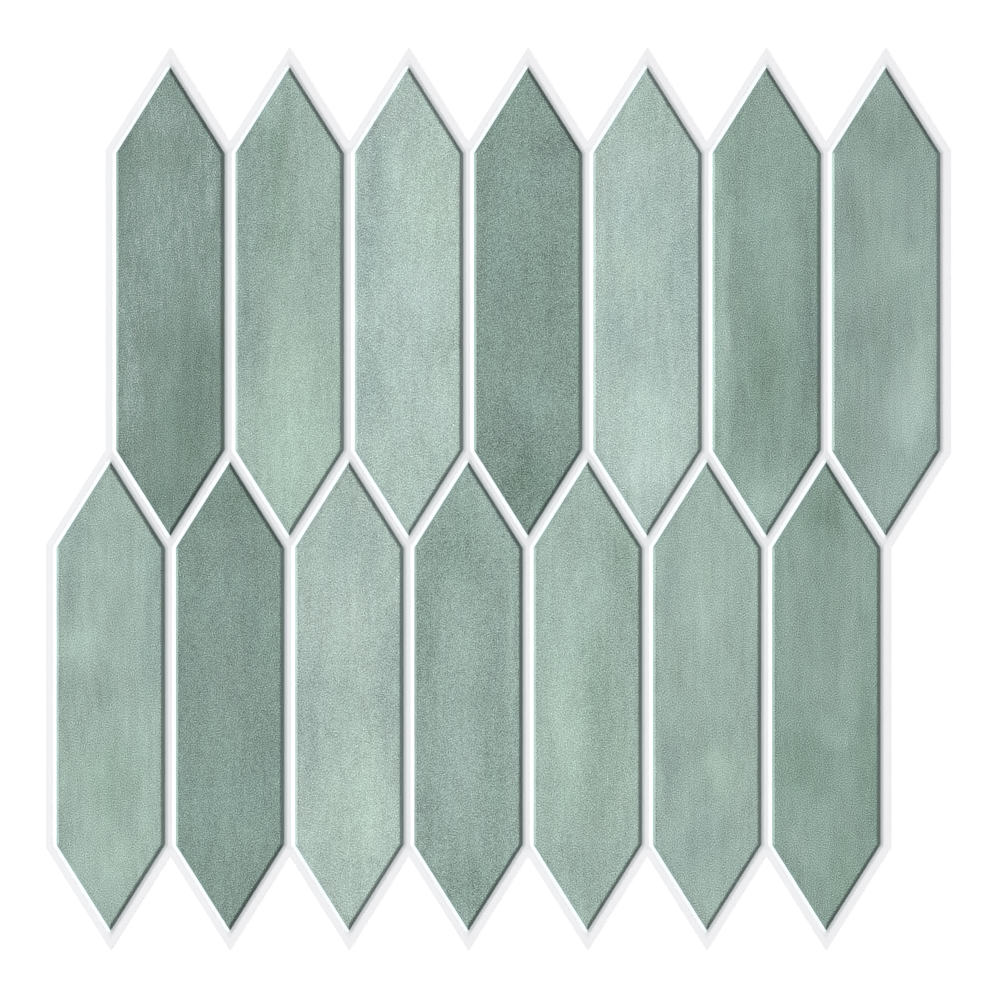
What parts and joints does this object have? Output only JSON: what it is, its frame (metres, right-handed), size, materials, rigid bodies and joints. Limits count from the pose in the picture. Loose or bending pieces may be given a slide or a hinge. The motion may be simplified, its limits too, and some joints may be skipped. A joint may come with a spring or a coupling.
{
  "type": "peel and stick wall panel",
  "caption": "Self-adhesive wall panel with staggered rows of raised picket tiles in sage green on a white grout sheet, for sticking to a flat wall as a backsplash.",
  "frame": {"origin": "centre of the panel's outline, on the underside of the release liner, where the panel lies on a level floor", "axes": "+Z out of the tile faces, away from the wall; +Y up the wall, along the tiles; +X to the right as the panel is seen from the room"},
  "size_m": [0.3052, 0.305, 0.0028],
  "materials": {
    "tile_deep_sage": "satin",
    "tile_sage": "satin",
    "tile_mid_sage": "satin",
    "tile_soft_sage": "satin",
    "tile_pale_sage": "satin",
    "grout_white": "satin",
    "adhesive": "gloss",
    "liner_paper": "satin"
  },
  "bodies": {
    "root": {"grout_sheet": "grout_white", "adhesive_film": "adhesive", "release_liner": "liner_paper", "upper_tile_1": "tile_deep_sage", "upper_tile_2": "tile_soft_sage", "upper_tile_3": "tile_pale_sage", "upper_tile_4": "tile_deep_sage", "upper_tile_5": "tile_pale_sage", "upper_tile_6": "tile_sage", "upper_tile_7": "tile_mid_sage", "lower_tile_1": "tile_soft_sage", "lower_tile_2": "tile_deep_sage", "lower_tile_3": "tile_pale_sage", "lower_tile_4": "tile_mid_sage", "lower_tile_5": "tile_soft_sage", "lower_tile_6": "tile_soft_sage", "lower_tile_7": "tile_sage"}
  },
  "joints": []
}
